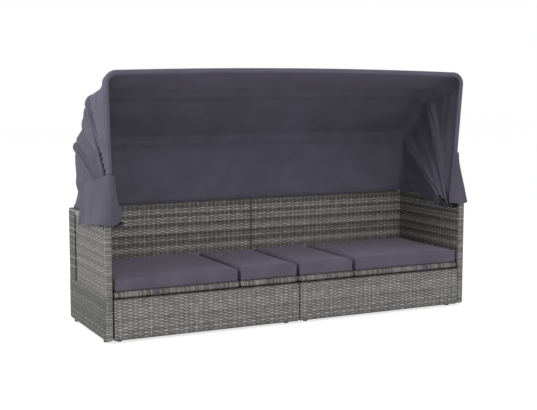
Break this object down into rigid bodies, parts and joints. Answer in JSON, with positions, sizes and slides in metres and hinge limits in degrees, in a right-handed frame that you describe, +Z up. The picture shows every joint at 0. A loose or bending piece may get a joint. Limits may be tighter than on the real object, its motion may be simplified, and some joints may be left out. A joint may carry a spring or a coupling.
{
  "type": "outdoor daybed with canopy",
  "caption": "Outdoor daybed of grey woven rattan panels with tilting backrests, dark cushions and a folding fabric canopy on steel hoops",
  "frame": {"origin": "on the floor, under the middle of the bounding box", "axes": "+X along the seat to the viewer's right, -Y the open front, +Z up"},
  "size_m": [2.0514, 0.6387, 1.2671],
  "materials": {
    "wicker": "flat woven strips, satin",
    "frame_steel": "black powder coat",
    "zinc_steel": "zinc plated",
    "foot_plastic": "black moulded",
    "cushion_cloth": "dark grey woven polyester",
    "canopy_cloth": "dark grey coated cloth"
  },
  "bodies": {
    "base": {"arm_panel_right": "wicker", "arm_panel_left": "wicker", "front_apron_right": "wicker", "front_apron_left": "wicker", "rear_apron_right": "wicker", "rear_apron_left": "wicker", "back_panel_right": "wicker", "back_panel_left": "wicker", "seat_board_right": "wicker", "seat_board_left": "wicker", "seat_frame_right": "frame_steel", "seat_frame_left": "frame_steel", "pivot_plate_outer_right": "frame_steel", "pivot_plate_outer_left": "frame_steel", "pivot_plate_inner_right": "frame_steel", "pivot_plate_inner_left": "frame_steel", "pivot_bolt_right": "frame_steel", "pivot_bolt_left": "frame_steel", "hinge_rod_right": "zinc_steel", "hinge_rod_left": "zinc_steel", "notched_rail_front_right": "zinc_steel", "notched_rail_front_left": "zinc_steel", "notched_rail_rear_right": "zinc_steel", "notched_rail_rear_left": "zinc_steel", "foot_inner_front_right": "foot_plastic", "foot_inner_front_left": "foot_plastic", "foot_inner_rear_right": "foot_plastic", "foot_inner_rear_left": "foot_plastic", "foot_outer_front_right": "foot_plastic", "foot_outer_front_left": "foot_plastic", "foot_outer_rear_right": "foot_plastic", "foot_outer_rear_left": "foot_plastic", "foot_arm_front_right": "foot_plastic", "foot_arm_front_left": "foot_plastic", "foot_arm_rear_right": "foot_plastic", "foot_arm_rear_left": "foot_plastic", "cushion_middle_right": "cushion_cloth", "cushion_middle_left": "cushion_cloth"},
    "hoop_rear": {"hoop_rear_right": "frame_steel", "hoop_rear_left": "frame_steel", "canopy_rear": "canopy_cloth", "canopy_pocket_rear": "canopy_cloth"},
    "hoop_middle": {"hoop_middle_right": "frame_steel", "hoop_middle_left": "frame_steel", "canopy_middle": "canopy_cloth", "canopy_pocket_middle": "canopy_cloth"},
    "hoop_front": {"hoop_front_right": "frame_steel", "hoop_front_left": "frame_steel", "canopy_front": "canopy_cloth", "canopy_sleeve": "canopy_cloth", "skirt_right": "canopy_cloth", "skirt_left": "canopy_cloth"},
    "backrest_right": {"backrest_board_right": "wicker", "cushion_backrest_right": "cushion_cloth", "strap_right": "cushion_cloth"},
    "backrest_left": {"backrest_board_left": "wicker", "cushion_backrest_left": "cushion_cloth", "strap_left": "cushion_cloth"},
    "stay_right": {"stay_right": "frame_steel"},
    "stay_left": {"stay_left": "frame_steel"}
  },
  "joints": [
    {"name": "hood_rear_fold", "type": "hinge", "parent": "base", "child": "hoop_rear", "pos_m": [0, -0.244, 0.548], "axis": [-1, 0, 0], "range_deg": [0, 29.5], "deforming": ["canopy_rear"]},
    {"name": "hood_middle_fold", "type": "hinge", "parent": "hoop_rear", "child": "hoop_middle", "pos_m": [0, -0.244, 0.548], "axis": [-1, 0, 0], "range_deg": [0, 25], "deforming": ["canopy_middle"]},
    {"name": "hood_front_fold", "type": "hinge", "parent": "hoop_middle", "child": "hoop_front", "pos_m": [0, -0.244, 0.548], "axis": [-1, 0, 0], "range_deg": [0, 24], "deforming": ["canopy_front", "skirt_right", "skirt_left"]},
    {"name": "backrest_right_tilt", "type": "hinge", "parent": "base", "child": "backrest_right", "pos_m": [0.338, 0, 0.224], "axis": [0, -1, 0], "range_deg": [0, 60], "deforming": ["cushion_backrest_right"]},
    {"name": "stay_right_swing", "type": "hinge", "parent": "backrest_right", "child": "stay_right", "pos_m": [0.5876, 0, 0.199], "axis": [0, 1, 0], "range_deg": [0, 120]},
    {"name": "backrest_left_tilt", "type": "hinge", "parent": "base", "child": "backrest_left", "pos_m": [-0.338, 0, 0.224], "axis": [0, 1, 0], "range_deg": [0, 60], "deforming": ["cushion_backrest_left"]},
    {"name": "stay_left_swing", "type": "hinge", "parent": "backrest_left", "child": "stay_left", "pos_m": [-0.5876, 0, 0.199], "axis": [0, -1, 0], "range_deg": [0, 120]}
  ],
  "couplings": [
    {"joint": "stay_right_swing", "follows": "backrest_right_tilt", "ratio": 2},
    {"joint": "stay_left_swing", "follows": "backrest_left_tilt", "ratio": 2}
  ]
}
